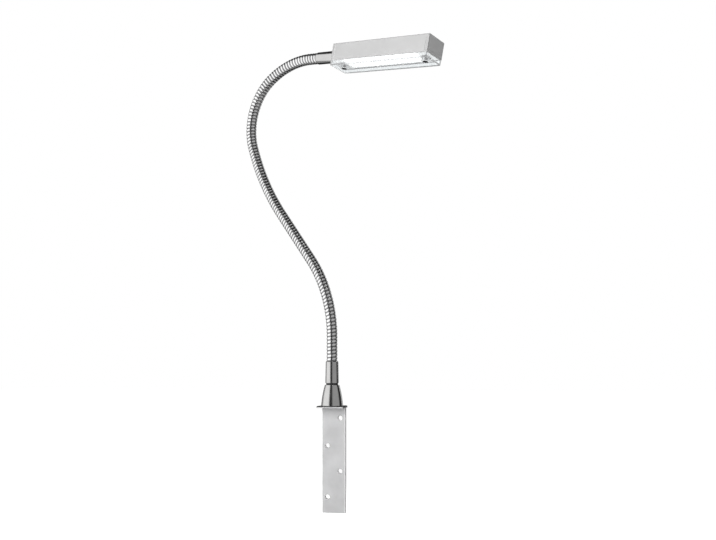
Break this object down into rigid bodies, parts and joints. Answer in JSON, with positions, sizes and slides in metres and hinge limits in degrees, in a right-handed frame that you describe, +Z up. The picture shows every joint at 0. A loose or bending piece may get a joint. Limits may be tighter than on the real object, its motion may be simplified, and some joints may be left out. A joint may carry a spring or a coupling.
{
  "type": "gooseneck wall sconce",
  "caption": "Wall light: a flat drilled bar with a flange carries a bell-shaped base, a bendable ribbed arm and a box-shaped lamp head with a clear cover.",
  "frame": {"origin": "centre of the flat bar's back face, which lies on the wall", "axes": "+X to the right seen from the room, +Y into the wall, +Z up along the bar towards the arm"},
  "size_m": [0.2386, 0.1397, 0.5047],
  "materials": {
    "bracket_metal": "satin, lengthwise grain",
    "zinc_steel": "bright zinc plate",
    "bushing_plastic": "fine matt",
    "base_nickel": "satin nickel plate",
    "head_nickel": "satin nickel plate",
    "gooseneck_steel": "plated wound steel, satin",
    "lead_jacket": "smooth flexible jacket",
    "housing_metal": "silver grey, satin",
    "cap_plastic": "silver grey, fine grain",
    "carrier_plastic": "fine matt",
    "board_aluminium": "white lacquer",
    "led_package": "clear over yellow",
    "terminal_plastic": "moulded",
    "core_copper": "bare copper",
    "cover_clear": "clear moulding",
    "screw_steel": "blackened"
  },
  "bodies": {
    "wall_base": {"wall_bracket": "bracket_metal", "base_nipple": "zinc_steel", "cable_bushing": "bushing_plastic", "base_washer": "zinc_steel", "base_locknut": "zinc_steel", "base_cone": "base_nickel", "base_ferrule": "base_nickel", "gooseneck_section_1": "gooseneck_steel", "lead_section_1": "lead_jacket"},
    "arm_link_2": {"gooseneck_section_2": "gooseneck_steel", "lead_section_2": "lead_jacket"},
    "arm_link_3": {"gooseneck_section_3": "gooseneck_steel", "lead_section_3": "lead_jacket"},
    "arm_link_4": {"gooseneck_section_4": "gooseneck_steel", "lead_section_4": "lead_jacket"},
    "arm_link_5": {"gooseneck_section_5": "gooseneck_steel", "lead_section_5": "lead_jacket"},
    "arm_link_6": {"gooseneck_section_6": "gooseneck_steel", "lead_section_6": "lead_jacket"},
    "lamp_head": {"gooseneck_section_7": "gooseneck_steel", "lead_section_7": "lead_jacket", "head_collar": "head_nickel", "head_washer": "zinc_steel", "head_locknut": "zinc_steel", "lamp_housing": "housing_metal", "end_cap_left": "cap_plastic", "end_cap_right": "cap_plastic", "board_carrier": "carrier_plastic", "led_board": "board_aluminium", "leds": "led_package", "terminal_block": "terminal_plastic", "lead_wires": "core_copper", "board_wires": "core_copper", "clear_cover": "cover_clear", "cover_screws": "screw_steel"}
  },
  "joints": [
    {"name": "arm_bend_1", "type": "hinge", "parent": "wall_base", "child": "arm_link_2", "pos_m": [-0.0008, -0.01357, 0.14966], "axis": [0.4772, 0.8788, 0], "range_deg": [-18, 18]},
    {"name": "arm_bend_2", "type": "hinge", "parent": "arm_link_2", "child": "arm_link_3", "pos_m": [-0.02394, -0.001, 0.21558], "axis": [0.7026, -0.3815, 0.6008], "range_deg": [-18, 18]},
    {"name": "arm_bend_3", "type": "hinge", "parent": "arm_link_3", "child": "arm_link_4", "pos_m": [-0.06351, 0.02049, 0.27152], "axis": [0.4772, 0.8788, 0], "range_deg": [-18, 18]},
    {"name": "arm_bend_4", "type": "hinge", "parent": "arm_link_4", "child": "arm_link_5", "pos_m": [-0.09684, 0.03858, 0.33224], "axis": [0.803, -0.436, 0.4064], "range_deg": [-18, 18]},
    {"name": "arm_bend_5", "type": "hinge", "parent": "arm_link_5", "child": "arm_link_6", "pos_m": [-0.10295, 0.0419, 0.4012], "axis": [0.4772, 0.8788, 0], "range_deg": [-18, 18]},
    {"name": "arm_bend_6", "type": "hinge", "parent": "arm_link_6", "child": "lamp_head", "pos_m": [-0.05301, 0.01478, 0.44004], "axis": [0.143, -0.0777, -0.9867], "range_deg": [-18, 18]}
  ]
}
